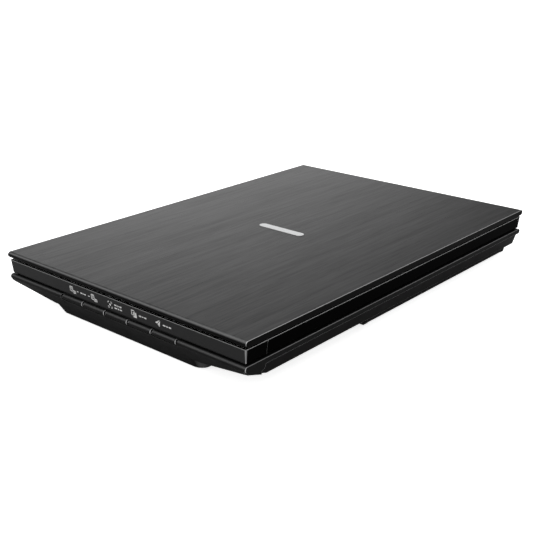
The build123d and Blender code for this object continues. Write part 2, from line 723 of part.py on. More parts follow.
def button(index):
    """One lip segment with a stem that reaches in to its switch."""
    x = button_x(index)
    half = (BUTTON_PITCH - BUTTON_SLIT) / 2
    nose_y = -HALF_D + LIP_FRONT_INSET + LIP_NOSE
    nose_z = LIP_TOP - LIP_NOSE
    nose = rod_x(nose_y, nose_z, x - half, x + half, LIP_NOSE)
    nose = fillet(nose.edges().filter_by(GeomType.CIRCLE), 0.45)
    key = nose + block(x - half, x + half, nose_y, nose_y + 0.4, BUTTON_LOW + BUTTON_GAP, LIP_TOP)
    key += block(x - half, x + half, nose_y, nose_y + 2.2, BUTTON_LOW + BUTTON_GAP, FRAME_BOTTOM - 0.2)
    key &= block(x - half, x + half, -HALF_D, 0, BUTTON_LOW + BUTTON_GAP, LIP_TOP)
    key -= block(x - half, x + half, nose_y + 0.4, 0, FRAME_BOTTOM - 0.2, HEIGHT)
    key += rod_y(x, 21, nose_y + 1, BUTTON_BOARD_Y - 4.1 - BUTTON_TRAVEL - RUN_GAP, 1.0)
    return key


# ---------------------------------------------------------------- stand


def stand_parts():
    y0, y1 = STAND_Y
    low, high = STAND_Z - STAND_R, STAND_Z + STAND_R
    leaf = block(STAND_INNER_X, STAND_EDGE_X, y0, y1, low, high)
    corners = [e for e in leaf.edges().filter_by(Axis.Z) if e.center().X < STAND_INNER_X + 1]
    leaf = fillet(corners, 8)
    leaf = fillet(leaf.faces().sort_by(Axis.X)[-1].edges().filter_by(Axis.Y), 0.6)
    # Pockets in the hidden side leave a thin skin and ribs.
    cells = 5
    pitch = (y1 - y0 - 12) / cells
    for i in range(cells):
        start = y0 + 6 + i * pitch
        leaf -= block(STAND_INNER_X + 10, STAND_X - 6, start + 1.5, start + pitch - 1.5, low + 1.6, high + 1)
    middle = (y0 + y1) / 2
    leaf -= rod_z(STAND_INNER_X - 3, middle, low - 1, high + 1, 9)
    leaf -= rod_y(STAND_X, STAND_Z, y0 - 1, y0 + 8, STAND_PIN_R + RUN_GAP)
    leaf -= rod_y(STAND_X, STAND_Z, y1 - 8, y1 + 1, STAND_PIN_R + RUN_GAP)
    pads = []
    for y in (y0 + 30, y1 - 30):
        pad = Pos(STAND_INNER_X + 12, y, low - 0.7) * Rot(0, 0, 90)
        pads.append(extrude(pad * SlotOverall(24, 6), amount=0.7))
    save("stand_leaf", leaf)
    save("stand_pads", pads)
    front = rod_y(STAND_X, STAND_Z, LUG_FRONT[1] + PIN_SINK, y0 + 7.5, STAND_PIN_R)
    rear = rod_y(STAND_X, STAND_Z, y1 - 7.5, LUG_REAR[1] - PIN_SINK, STAND_PIN_R)
    save("stand_pins", front, rear)


# ---------------------------------------------------------------- carriage


def carriage_frame():
    tray = block(-TRAY_HALF_X, TRAY_HALF_X, -TRAY_HALF_Y, TRAY_HALF_Y, *TRAY_Z)
    for side in (-1, 1):
        y = sorted((side * (SENSOR_HALF_Y + 0.4), side * TRAY_HALF_Y))
        tray += block(-TRAY_HALF_X, TRAY_HALF_X, *y, TRAY_Z[0], 25)
        x = sorted((side * (SENSOR_HALF_X + 0.6), side * TRAY_HALF_X))
        tray += block(*x, -TRAY_HALF_Y, TRAY_HALF_Y, TRAY_Z[0], 25)
    tray += block(18, 52, 0, 29, *TRAY_Z)
    tray += block(-9, 9, -SADDLE_HALF_Y, SADDLE_HALF_Y, ROD_Z - BUSH_R - 1.2, TRAY_Z[0] + 0.5)
    tray -= rod_y(0, ROD_Z, -20, 20, BUSH_R) & block(-9, 9, -20, 20, 0, ROD_Z + BUSH_R)
    tray -= rod_z(DRIVE_X, DRIVE_Y, TRAY_Z[0] - 1, TRAY_Z[1] + 0.01, AXLE_R)
    tray -= rod_z(MOTOR_X, MOTOR_Y, TRAY_Z[0] - 1, TRAY_Z[1] + 1, 2.2)
    for x in (-70, 70):
        tray -= rod_z(x, 0, TRAY_Z[1] - 0.6, TRAY_Z[1] + 1, 3.2)
    return tray


WINDOW_HALF_X = 106.8
WINDOW_HALF_Y = 4.4
WINDOW_THICK = 0.8
CHANNEL_HALF_X = 106.0
LIGHT_CHANNEL = (-4.0, -1.2, 27.4)
LENS_CHANNEL = (0.2, 2.0, 23.8)


def sensor_housing():
    """A long bar with a window seat on top, a channel for the light and one for the lenses."""
    body = block(-SENSOR_HALF_X, SENSOR_HALF_X, -SENSOR_HALF_Y, SENSOR_HALF_Y, SENSOR_BOTTOM, SENSOR_TOP)
    seat_x, seat_y = WINDOW_HALF_X + 0.2, WINDOW_HALF_Y + 0.2
    body -= slab(seat_x, seat_y, SENSOR_TOP - WINDOW_THICK, SENSOR_TOP + 1)
    for y0, y1, low in (LIGHT_CHANNEL, LENS_CHANNEL):
        body -= block(-CHANNEL_HALF_X, CHANNEL_HALF_X, y0, y1, low, SENSOR_TOP)
    return body


def spring(x):
    """A coil spring that presses the sensor up towards the glass."""
    wire = 0.25
    low = TRAY_Z[1] - 0.6 + wire
    high = SENSOR_BOTTOM - 0.8 - wire
    path = Helix(pitch=(high - low) / 4, height=high - low, radius=2.4)
    profile = Plane(path @ 0, z_dir=path % 0) * Circle(wire)
    return Pos(x, 0, low) * sweep(profile, path=path, is_frenet=True)


def cable_tail():
    """The cable's moving end: it leaves the tray forwards, turns under and lies just above the floor."""
    low = DROP_Z + WALL + CABLE_THICK + 0.25
    radius = (TRAY_Z[0] - low) / 2
    middle = low + radius
    x = (PLUG_X - CABLE_HALF, PLUG_X + CABLE_HALF)
    bend = rod_x(-2, middle, *x, radius) - rod_x(-2, middle, x[0] - 1, x[1] + 1, radius - CABLE_THICK)
    bend &= block(*x, -20, -2, 0, 30)
    tail = bend + block(*x, -2, 9, low, low + CABLE_THICK)
    top = middle + radius
    return tail + block(*x, -2, 4, top - CABLE_THICK, top)


def carriage_parts():
    save("carriage_frame", shift(carriage_frame()))
    bushes = []
    for y in (-SADDLE_HALF_Y, SADDLE_HALF_Y - 6):
        bore = rod_y(0, ROD_Z, y - 1, y + 7, ROD_R + RUN_GAP)
        bushes.append(shift(rod_y(0, ROD_Z, y, y + 6, BUSH_R) - bore))
    save("rod_bushes", bushes)
    save("sensor_housing", shift(sensor_housing()))
    window = slab(WINDOW_HALF_X, WINDOW_HALF_Y, SENSOR_TOP - WINDOW_THICK, SENSOR_TOP)
    save("sensor_window", shift(window))
    save("light_guide", shift(rod_x(-2.6, 29.2, -105.5, 99.5, 1.3)))
    save("light_unit", shift(block(99.7, 105.8, -3.9, -1.3, 27.6, 30.8)))
    save("lens_array", shift(block(-105.5, 105.5, 0.3, 1.9, 24.0, 29.0)))
    board = block(-100, 100, -5, 5, SENSOR_BOTTOM - 0.8, SENSOR_BOTTOM)
    save("sensor_board", shift(board))
    save("sensor_springs", shift(spring(-70)), shift(spring(70)))
    spacer = block(107.4, 109.6, -4, 4, SENSOR_TOP, GLASS_BOTTOM - RUN_GAP)
    save("glass_spacers", mirrored(shift(spacer)))
    motor = rod_z(MOTOR_X, MOTOR_Y, TRAY_Z[1], 26.5, MOTOR_R)
    motor = fillet(motor.faces().sort_by(Axis.Z)[-1].edges(), 1.0)
    motor -= rod_z(MOTOR_X, MOTOR_Y, TRAY_Z[1] - 1, 25, SHAFT_R + RUN_GAP)
    save("drive_motor", shift(motor))
    axle = rod_z(DRIVE_X, DRIVE_Y, 4.4, TRAY_Z[1], AXLE_R)
    save("gear_axle", shift(axle))
    save("cable_tail", shift(cable_tail()))


def gear_parts():
    towards_motor = atan2(MOTOR_Y - DRIVE_Y, MOTOR_X - DRIVE_X)
    # The small gear has a gap towards the rack; the wheel has a tooth towards the motor.
    drive = gear(RACK_MODULE, DRIVE_TEETH, pi / DRIVE_TEETH, 5.0, 10.4)
    wheel = gear(WHEEL_MODULE, WHEEL_TEETH, towards_motor, 10.4, 13.4)
    pair = Pos(DRIVE_X, DRIVE_Y, 0) * (drive + wheel + rod_z(0, 0, 13.0, 15.0, 3.0))
    pair -= rod_z(DRIVE_X, DRIVE_Y, 0, 20, AXLE_R + RUN_GAP)
    save("compound_gear", shift(pair))
    pinion = gear(WHEEL_MODULE, PINION_TEETH, towards_motor + pi + pi / PINION_TEETH, 10.4, 14.2)
    pinion = Pos(MOTOR_X, MOTOR_Y, 0) * pinion - rod_z(MOTOR_X, MOTOR_Y, 0, 20, SHAFT_R)
    save("motor_pinion", shift(pinion))
    save("motor_shaft", shift(rod_z(MOTOR_X, MOTOR_Y, 10.0, 24.5, SHAFT_R)))


lid_parts()
hinge_parts()
base_parts()
board_parts()
for number in range(BUTTONS):
    save(f"button_{number + 1}", button(number))
stand_parts()
carriage_parts()
gear_parts()
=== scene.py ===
import bpy
import json
import math
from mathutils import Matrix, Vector


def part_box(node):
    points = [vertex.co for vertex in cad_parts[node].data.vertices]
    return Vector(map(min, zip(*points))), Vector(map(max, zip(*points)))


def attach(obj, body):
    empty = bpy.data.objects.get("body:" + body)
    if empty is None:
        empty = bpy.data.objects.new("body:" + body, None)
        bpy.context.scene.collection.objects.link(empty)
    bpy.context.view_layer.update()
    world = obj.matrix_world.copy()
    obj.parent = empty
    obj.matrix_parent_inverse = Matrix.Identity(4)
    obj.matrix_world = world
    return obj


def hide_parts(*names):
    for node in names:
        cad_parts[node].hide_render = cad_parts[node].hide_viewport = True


# A slim flatbed scanner in a pale studio. Metres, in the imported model's own frame; MM turns millimetres into
# metres.
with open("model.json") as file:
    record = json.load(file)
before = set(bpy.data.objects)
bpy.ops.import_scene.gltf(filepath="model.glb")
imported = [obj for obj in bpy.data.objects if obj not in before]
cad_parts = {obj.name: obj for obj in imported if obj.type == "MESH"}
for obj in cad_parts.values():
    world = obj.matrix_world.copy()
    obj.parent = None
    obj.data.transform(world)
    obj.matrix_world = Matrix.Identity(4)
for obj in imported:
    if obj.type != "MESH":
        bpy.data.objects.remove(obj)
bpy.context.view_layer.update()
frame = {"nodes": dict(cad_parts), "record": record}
MM = 0.001

LID_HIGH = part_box("lid_cover")[1]
TRIM_LOW, TRIM_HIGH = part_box("front_trim")
GLASS_LOW, GLASS_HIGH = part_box("platen_glass")
PAD_LOW, PAD_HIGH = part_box("foam_pad")
CASE_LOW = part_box("lower_case")[0]

# Colours, linear. An edge colour is a painted highlight: the pale tone that a sharply lit edge shows.
CASE_BLACK = (0.0056, 0.0056, 0.0058)
FRAME_BLACK = (0.0004, 0.0004, 0.00045)
TRIM_GREY = (0.026, 0.026, 0.0265)
LID_SIDE_BLACK = (0.002, 0.002, 0.0021)
LID_DARK = (0.0064, 0.0064, 0.0067)
LID_LIGHT = (0.022, 0.022, 0.0226)
LID_STREAK = (0.0038, 0.0038, 0.004)
FOAM_DARK = (0.42, 0.42, 0.41)
FOAM_LIGHT = (0.7, 0.7, 0.68)
BOARD_GREEN = (0.012, 0.085, 0.035)
TRACK_GREEN = (0.03, 0.16, 0.06)
LAMP_DARK = (0.85, 0.85, 0.78)
LAMP_LIGHT = (0.95, 0.95, 0.9)
EDGE_HIGHLIGHT_GREY = (0.8, 0.8, 0.805)
EDGE_HIGHLIGHT_PALE = (0.9, 0.9, 0.905)
SEAM_SHARE = 0.22  # how much of an edge's painted highlight is left beside the seam behind the front trim's returns

# Printed marks, in millimetres.
LINE = 0.7  # width of an icon's lines
PRINT_GAP = 0.004  # clearance under the print
PRINT_THICKNESS = 0.02
ROW_SHIFT = 1.0  # the icon row sits this far right of the middle
ROW_FOOT = 1.4  # height of the icons above the foot of the trim's face
FACE_LEAN = 1.0  # how far back the trim's face leans from its top to its foot
FACE_TOP = 0.5  # depth of the face's top under the trim's top
FACE_FOOT = 9.5  # depth of its foot
SHEET_LENGTHS = (148.0, 182.0, 210.0, 257.0, 297.0)
SHEET_WIDTHS = (105.0, 148.0, 182.0, 210.0)
TICK_LENGTH = 3.4
TICK_WIDTH = 0.5
LABEL_BOX = (-55.0, 60.0, 62.0, 26.0)  # left, front, width and depth of the label under the case
LABEL_THICKNESS = 0.08
LABEL_INSET = 1.5  # of the label's border

# Soft pad. Shares are of the pad's half width, half length or half height.
PAD_MARGIN = 0.25 * MM
PAD_SQUARES = (60, 84)
PAD_RIM = (0.985, 0.9895, 0.994, 0.9975, 1.0)  # where the surface is divided as it rolls off
PAD_EDGE_SHARE = 0.18  # height left at the very edge
PAD_DIMPLE = 0.06
PAD_SAG = 0.07  # how much thinner the pad is on its free side

# Studio. Angles in degrees, azimuth from the front towards +X.
FLOOR_HALF = 60.0
FLOOR_TONE = (0.9, 0.92)
FLOOR_SEEN_BY_OBJECT = 0.3
FLOOR_GLOW = 0.8
ROOM_LIGHT = 0.7  # what matt surfaces get from all round
GLOW_AZIMUTH = 231.0
GLOW_ELEVATION = -6.0
GLOW_SPREAD = 38.0
GLOW_DIM = 0.02
GLOW_BRIGHT = 1.4
GLOW_OPPOSITE = 0.89
CEILING = 0.7
CEILING_RANGE = (0.52, 0.75)  # upward share of a direction, from where the ceiling starts to where it is full

CAMERA_AZIMUTH = math.radians(41.04)
CAMERA_ELEVATION = math.radians(20.49)
CAMERA_DISTANCE = 0.679
CAMERA_TARGET = Vector((0.048, -0.076, LID_HIGH.z))
CAMERA_LENS = 61.75
CAMERA_SENSOR = 36.0


# ------------------------------------------------------------------ shader nodes


class Tree:
    """A thin wrapper that adds shader nodes to one node tree and links them."""

    def __init__(self, tree):
        self.tree = tree

    def add(self, kind, **settings):
        node = self.tree.nodes.new(kind)
        for key, value in settings.items():
            setattr(node, key, value)
        return node

    def link(self, source, target):
        self.tree.links.new(source, target)

    def put(self, target, value):
        if hasattr(value, "is_output"):
            self.link(value, target)
        else:
            target.default_value = value

    def spread(self, value, low, high, start=0.3, end=0.7, interpolation="LINEAR"):
        """Maps a value from the range start to end onto the range low to high."""
        node = self.add("ShaderNodeMapRange", interpolation_type=interpolation)
        self.put(node.inputs["Value"], value)
        node.inputs["From Min"].default_value = start
        node.inputs["From Max"].default_value = end
        self.put(node.inputs["To Min"], low)
        self.put(node.inputs["To Max"], high)
        return node.outputs["Result"]

    def math(self, operation, a, b=0.0):
        node = self.add("ShaderNodeMath", operation=operation)
        self.put(node.inputs[0], a)
        self.put(node.inputs[1], b)
        return node.outputs["Value"]

    def dot(self, a, b):
        node = self.add("ShaderNodeVectorMath", operation="DOT_PRODUCT")
        self.put(node.inputs[0], a)
        self.put(node.inputs[1], b)
        return node.outputs["Value"]

    def parts(self, vector):
        """The X, Y and Z of a vector."""
        split = self.add("ShaderNodeSeparateXYZ")
        self.link(vector, split.inputs[0])
        return split.outputs

    def choose(self, factor, a, b, kind="FLOAT"):
        node = self.add("ShaderNodeMix", data_type=kind)
        self.put(node.inputs["Factor"], factor)
        self.put(node.inputs["A"], a)
        self.put(node.inputs["B"], b)
        return node.outputs["Result"]


class Nodes(Tree):
    """The shader nodes of one new material. Places and normals are the piece's own, so they turn with it."""

    def __init__(self, name):
        self.material = bpy.data.materials.new(name)
        self.material.use_nodes = True
        super().__init__(self.material.node_tree)
        self.shader = self.tree.nodes["Principled BSDF"]
        own = self.add("ShaderNodeTexCoord").outputs
        self.place = own["Object"]
        self.normal = self.parts(own["Normal"])

    def scaled(self, scale):
        node = self.add("ShaderNodeMapping")
        self.link(self.place, node.inputs["Vector"])
        node.inputs["Scale"].default_value = scale
        return node.outputs["Vector"]

    def noise(self, scale, detail=3.0, rough=0.55):
        """Noise with its own scale on each axis, per metre."""
        node = self.add("ShaderNodeTexNoise")
        self.link(self.scaled(scale), node.inputs["Vector"])
        node.inputs["Scale"].default_value = 1.0
        node.inputs["Detail"].default_value = detail
        node.inputs["Roughness"].default_value = rough
        return node.outputs["Fac"]

    def mix(self, factor, a, b):
        """Mixes two colours, each a plain colour or another node's output."""
        ends = [end if hasattr(end, "is_output") else rgba(end) for end in (a, b)]
        return self.choose(factor, *ends, kind="RGBA")

    def facing(self, axis, start, end):
        """0 to 1 as a face turns towards one of its piece's own axes."""
        return self.spread(self.normal[axis], 0.0, 1.0, start, end)

    def rounded(self, radius):
        """A normal that is rounded at edges, and a mask that is 1 on the edges of upright faces."""
        bevel = self.add("ShaderNodeBevel", samples=6)
        bevel.inputs["Radius"].default_value = radius
        flat = self.add("ShaderNodeNewGeometry").outputs["True Normal"]
        mask = self.spread(self.dot(bevel.outputs["Normal"], flat), 1.0, 0.0, 0.75, 0.99)
        upright = self.spread(self.math("ABSOLUTE", self.normal["Z"]), 1.0, 0.0, 0.8, 0.95)
        return bevel.outputs["Normal"], self.math("MULTIPLY", mask, upright)

    def turned(self):
        """1 where a surface that doesn't look down turns from one side to the next, as on a rounded edge."""
        across = self.math("ABSOLUTE", self.normal["X"])
        along = self.math("ABSOLUTE", self.normal["Y"])
        largest = self.math("MAXIMUM", self.math("MAXIMUM", across, along), self.normal["Z"])
        turning = self.spread(largest, 1.0, 0.0, 0.72, 0.98)
        return self.math("MULTIPLY", turning, self.facing("Z", -0.25, -0.05))

    def edge_highlight(self, mask, edge, turn, front, corner=0.0):
        """How much painted highlight an edge gets, from the edge mask and from turned(); less, by front, on
        front and rear edges.
        With corner, a rounded upright corner gets the painted highlight as well, down to where it starts to
        look down."""
        across = self.math("ABSOLUTE", self.normal["X"])
        sharp = self.math("MULTIPLY", mask, edge)
        soft = self.math("MULTIPLY", self.turned(), turn)
        highlight = self.math("MAXIMUM", sharp, soft)
        highlight = self.math("MULTIPLY", highlight, self.spread(across, front, 1.0, 0.05, 0.3))
        if corner:
            both = self.math("MULTIPLY", across, self.math("ABSOLUTE", self.normal["Y"]))
            at_corner = self.spread(both, 0.0, corner, 0.2, 0.4)
            highlight = self.math("MAXIMUM", highlight, self.math("MULTIPLY", self.facing("Z", -0.6, -0.35), at_corner))
        return highlight

    def seamed(self, highlight):
        """Leaves only a share of the painted edge highlight beside the upright seam where the trim's returns
        end.
        """
        place = self.parts(self.place)
        distance = self.math("ABSOLUTE", self.math("SUBTRACT", place["Y"], TRIM_HIGH.y))
        beside = self.spread(distance, 1.0, 0.0, 0.8 * MM, 1.2 * MM)
        below = self.spread(place["Z"], 1.0, 0.0, TRIM_HIGH.z - 1.4 * MM, TRIM_HIGH.z - 0.9 * MM)
        share = self.spread(self.math("MULTIPLY", beside, below), 1.0, SEAM_SHARE, 0.0, 1.0)
        return self.math("MULTIPLY", highlight, share)

    def bump(self, height, distance, normal=None):
        node = self.add("ShaderNodeBump")
        node.inputs["Strength"].default_value = 1.0
        node.inputs["Distance"].default_value = distance
        self.put(node.inputs["Height"], height)
        if normal is not None:
            self.link(normal, node.inputs["Normal"])
        return node.outputs["Normal"]

    def set(self, **values):
        """Sets the shader's inputs, named with _ for a space."""
        for key, value in values.items():
            self.put(self.shader.inputs[key.replace("_", " ")], value)


def rgba(color):
    return (color[0], color[1], color[2], 1.0)


def tinted(color, factor):
    return tuple(min(1.0, c * factor) for c in color)


# ------------------------------------------------------------------ materials


def plastic(name, color, rough, grain=3000.0, depth=0.004, specular=0.4, edge=0.0, radius=0.25,
            highlight_color=None, turn=0.0, front=1.0, corner=0.0, cloud=0.12, seam=False):
    """Moulded plastic: fine spark-eroded texture, slight colour and gloss variation, edges painted paler as a
    highlight.
    depth and radius are in millimetres."""
    n = Nodes(name)
    fine = n.noise((grain, grain, grain), 2.0)
    broad = n.spread(n.noise((40, 40, 40)), 0.0, 1.0)
    base = n.mix(broad, tinted(color, 1 - cloud), tinted(color, 1 + cloud))
    normal, mask = n.rounded(radius * MM)
    highlight = n.edge_highlight(mask, edge, turn, front, corner)
    if seam:
        highlight = n.seamed(highlight)
    # Painted highlight: edges are mixed towards the highlight colour, where a lamp would catch them.
    base = n.mix(highlight, base, highlight_color or tinted(color, 3.0))
    n.set(Base_Color=base, Roughness=n.spread(n.noise((90, 90, 90)), rough - 0.04, rough + 0.04))
    n.set(Normal=n.bump(fine, depth * MM, normal), Specular_IOR_Level=specular)
    return n.material


def brushed_lid():
    """Dark graphite film with a brushed grain along the lid's length; its sides are plain black."""
    n = Nodes("lid_brushed_graphite")
    fine = n.noise((2400, 14, 900), 4.0, 0.7)
    grain = 0.0
    for share, scale, detail, rough in ((0.42, (480, 15, 200), 3.0, 0.65), (0.28, (130, 8, 30), 2.0, 0.55),
                                        (0.3, (800, 40, 300), 3.0, 0.65)):
        grain = n.math("ADD", grain, n.math("MULTIPLY", n.noise(scale, detail, rough), share))
    top = n.facing("Z", 0.75, 0.95)
    base = n.mix(n.spread(fine, 0.0, 1.0, 0.2, 0.8), LID_DARK, LID_LIGHT)
    base = n.mix(n.spread(grain, 0.0, 0.8, 0.4, 0.6), base, LID_STREAK)
    base = n.mix(top, LID_SIDE_BLACK, base)
    normal, mask = n.rounded(0.5 * MM)
    # Painted highlight: the lid's edges and rounded nose are mixed towards a pale grey.
    base = n.mix(n.edge_highlight(mask, edge=0.3, turn=1.0, front=0.2), base, EDGE_HIGHLIGHT_GREY)
    n.set(Base_Color=base, Roughness=n.spread(fine, 0.26, 0.36, 0.25, 0.75))
    n.set(Specular_IOR_Level=n.spread(top, 0.1, n.spread(grain, 0.66, 0.32, 0.38, 0.62), 0.0, 1.0))
    n.set(Normal=n.bump(n.math("MULTIPLY", fine, top), 0.008 * MM, normal))
    return n.material


def trim_panel():
    """Satin black plastic with painted light and shade: the front face is painted grey, and the short returns
    along the sides are painted as black as the frame, with little shine.
    """
    n = Nodes("trim_satin")
    front = n.math("SUBTRACT", 1.0, n.facing("Y", -0.9, -0.4))
    normal, mask = n.rounded(0.5 * MM)
    highlight = n.seamed(n.edge_highlight(mask, edge=0.9, turn=0.9, front=0.55))
    # Painted light and shade: grey on the front face, frame black on the side returns, and a painted highlight
    # on the edges.
    base = n.mix(highlight, n.mix(front, FRAME_BLACK, TRIM_GREY), EDGE_HIGHLIGHT_PALE)
    n.set(Base_Color=base, Roughness=n.spread(n.noise((90, 90, 90)), 0.3, 0.36))
    n.set(Specular_IOR_Level=n.spread(front, 0.02, 0.25, 0.0, 1.0))
    n.set(Normal=n.bump(n.noise((5200, 5200, 5200), 2.0), 0.003 * MM, normal))
    return n.material


def metal(name, color, rough, stretch=(300, 300, 300), metallic=1.0):
    """Metal with a fine grain, stretched where it is brushed or drawn, and edges painted brighter as a
    highlight.
    """
    n = Nodes(name)
    grain = n.noise(stretch, 3.0)
    base = n.mix(n.spread(grain, 0.0, 1.0), tinted(color, 0.86), tinted(color, 1.06))
    normal, mask = n.rounded(0.15 * MM)
    # Painted highlight: edges are mixed towards a brighter tint.
    base = n.mix(n.math("MULTIPLY", mask, 0.4), base, tinted(color, 1.3))
    n.set(Base_Color=base, Metallic=metallic, Roughness=n.spread(grain, rough - 0.06, rough + 0.08))
    n.set(Normal=n.bump(grain, 0.002 * MM, normal))
    return n.material


def clear(name, tint, rough=0.02):
    """Clear glass or plastic with faint dust and smears."""
    n = Nodes(name)
    smear = n.noise((12, 30, 12), 4.0)
    n.set(Base_Color=n.mix(n.spread(smear, 0.0, 1.0), tint, tinted(tint, 0.97)), IOR=1.5)
    n.set(Transmission_Weight=1.0, Roughness=n.spread(smear, rough, rough + 0.02, 0.45, 0.8))
    return n.material


def foam():
    """Open foam with cells under a millimetre wide."""
    n = Nodes("foam_cells")
    cells = n.add("ShaderNodeTexVoronoi")
    n.link(n.scaled((1400, 1400, 1400)), cells.inputs["Vector"])
    cells.inputs["Scale"].default_value = 1.0
    distance = cells.outputs["Distance"]
    # Painted shade: each cell's hollow, the low part of the bump, is coloured darker.
    n.set(Base_Color=n.mix(n.spread(distance, 0.0, 1.0, 0.0, 0.6), FOAM_DARK, FOAM_LIGHT))
    n.set(Roughness=0.95, Normal=n.bump(distance, 0.12 * MM), Specular_IOR_Level=0.1)
    return n.material


def circuit_board():
    """Green solder mask over faint copper tracks."""
    n = Nodes("circuit_board_green")
    tracks = n.add("ShaderNodeTexBrick", offset=0.37, squash=1.6)
    n.link(n.scaled((260, 260, 260)), tracks.inputs["Vector"])
    tracks.inputs["Scale"].default_value = 1.0
    tracks.inputs["Mortar Size"].default_value = 0.06
    line = tracks.outputs["Fac"]
    n.set(Base_Color=n.mix(line, BOARD_GREEN, TRACK_GREEN))
    n.set(Roughness=n.spread(n.noise((300, 300, 300)), 0.25, 0.4), Normal=n.bump(line, 0.03 * MM))
    return n.material


def lamp():
    """Milky plastic of the sensor's light."""
    n = Nodes("lamp_milky")
    n.set(Base_Color=n.mix(n.noise((800, 800, 800)), LAMP_DARK, LAMP_LIGHT))
    n.set(Roughness=0.3, Subsurface_Weight=0.3)
    return n.material


# By the record's material slot.
MATERIALS = {
    "lid_plastic": brushed_lid(),
    "trim_plastic": trim_panel(),
    "case_plastic": plastic("case_satin", CASE_BLACK, 0.42, grain=3200, depth=0.006, specular=0.25, edge=0.9,
                            radius=0.5, highlight_color=EDGE_HIGHLIGHT_GREY, turn=0.65, front=0.15, corner=1.0),
    "frame_gloss": plastic("frame_polished", FRAME_BLACK, 0.22, grain=900, depth=0.001, specular=0.012,
                           edge=0.9, radius=0.5, highlight_color=EDGE_HIGHLIGHT_PALE, turn=0.9, seam=True),
    "inner_plastic": plastic("inner_textured", (0.017, 0.017, 0.0175), 0.55, grain=1800, depth=0.012,
                             specular=0.35, edge=0.4),
    "badge_metal": metal("badge_silver", (0.8, 0.805, 0.81), 0.42, stretch=(40, 2500, 900), metallic=0.35),
    "glass": clear("platen_clear", (0.93, 0.97, 0.955)),
    "white_sheet": plastic("sheet_white", (0.82, 0.82, 0.8), 0.6, grain=2500, specular=0.3, cloud=0.015),
    "foam": foam(),
    "tape": plastic("tape_black", (0.02, 0.02, 0.02), 0.7, grain=900, depth=0.01),
    "steel": metal("steel_bright", (0.55, 0.55, 0.56), 0.27, stretch=(900, 40, 900)),
    "socket_metal": metal("socket_nickel", (0.6, 0.59, 0.56), 0.24),
    "circuit_board": circuit_board(),
    "chip": plastic("chip_black", (0.02, 0.02, 0.021), 0.5, grain=4000, depth=0.01, edge=0.5),
    "gear_plastic": plastic("gear_acetal", (0.72, 0.71, 0.66), 0.4, grain=1500, depth=0.003, specular=0.45,
                            edge=0.3),
    "brass": metal("brass_turned", (0.7, 0.5, 0.2), 0.25),
    "bush_plastic": plastic("bush_acetal", (0.62, 0.6, 0.52), 0.4, grain=1500, depth=0.003, specular=0.45,
                            edge=0.3),
    "clear_plastic": clear("guide_clear", (0.9, 0.95, 0.97), 0.08),
    "lamp": lamp(),
    "rubber": plastic("rubber_matt", (0.007, 0.007, 0.007), 0.75, grain=2600, depth=0.02, specular=0.2,
                      edge=0.2),
    "cable_film": plastic("cable_film", (0.75, 0.75, 0.72), 0.35, grain=300, depth=0.01, cloud=0.04),
}
PRINT = plastic("print_pale", (0.9, 0.9, 0.89), 0.55, grain=6000, depth=0.001, specular=0.3)
LABEL = plastic("label_silver", (0.3, 0.3, 0.31), 0.45, grain=2000, depth=0.002, cloud=0.04)


def paint_cad():
    for entry in frame["record"]["subparts"]:
        obj = frame["nodes"][entry["node"]]
        obj.data.materials.clear()
        obj.data.materials.append(MATERIALS[entry["material_slot"]])


# ------------------------------------------------------------------ mesh helpers


def mesh_object(name, points, faces, material):
    mesh = bpy.data.meshes.new(name)
    mesh.from_pydata([tuple(p) for p in points], [], faces)
    mesh.validate()
    mesh.update()
    obj = bpy.data.objects.new(name, mesh)
    bpy.context.scene.collection.objects.link(obj)
    mesh.materials.append(material)
    return obj


def joined_plates(name, outlines, place, thickness, material):
    """Thin printed plates: each flat outline is put on a surface and given a little thickness."""
    points, faces = [], []
    for outline in outlines:
        start, count = len(points), len(outline)
        for level in (0.0, thickness):
            points += [place(u, v, level) for u, v in outline]
        faces.append([start + count + i for i in range(count)])
        faces.append([start + i for i in reversed(range(count))])
        for i in range(count):
            j = (i + 1) % count
            faces.append([start + i, start + j, start + count + j, start + count + i])
    return mesh_object(name, points, faces, material)


def fix_to_base(piece):
    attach(piece, "base")


def bar(u, v, width, height):
    """A rounded bar with its lower left corner at (u, v)."""
    r = min(width, height) / 2
    left, right, low, high = u + r, u + width - r, v + r, v + height - r
    corners = ((right, low), (right, high), (left, high), (left, low))
    outline = []
    for quarter, (x, y) in enumerate(corners):
        for step in range(4):
            angle = math.radians(90 * (quarter - 1) + 30 * step)
            outline.append((x + r * math.cos(angle), y + r * math.sin(angle)))
    return outline


def outline_rect(u, v, width, height, line):
    """Four bars that frame a rectangle."""
    return [bar(u, v, width, line), bar(u, v + height - line, width, line),
            bar(u, v, line, height), bar(u + width - line, v, line, height)]


def shape_rect(u, v, width, height):
    return [(u, v), (u + width, v), (u + width, v + height), (u, v + height)]


# ------------------------------------------------------------------ printed marks


def page_icon(u, v=ROW_FOOT):
    """A sheet with two lines on it, and a smaller sheet at its lower right corner."""
    marks = outline_rect(u, v + 1.2, 3.6, 4.4, LINE)
    marks += [bar(u + 1.1, v + rise, 1.4, LINE) for rise in (4.0, 2.9)]
    marks += outline_rect(u + 3.0, v, 3.4, 2.6, LINE)
    marks.append(bar(u + 4.0, v + 1.0, 1.4, LINE))
    return marks


def frame_icon(u, v=ROW_FOOT):
    """Four corner brackets around a dot."""
    width, height, arm = 4.8, 5.4, 1.6
    marks = []
    for x in (u, u + width - arm):
        marks += [bar(x, v, arm, LINE), bar(x, v + height - LINE, arm, LINE)]
    for y in (v, v + height - arm):
        marks += [bar(u, y, LINE, arm), bar(u + width - LINE, y, LINE, arm)]
    marks.append(bar(u + 1.5, v + 1.8, 1.8, 1.8))
    return marks


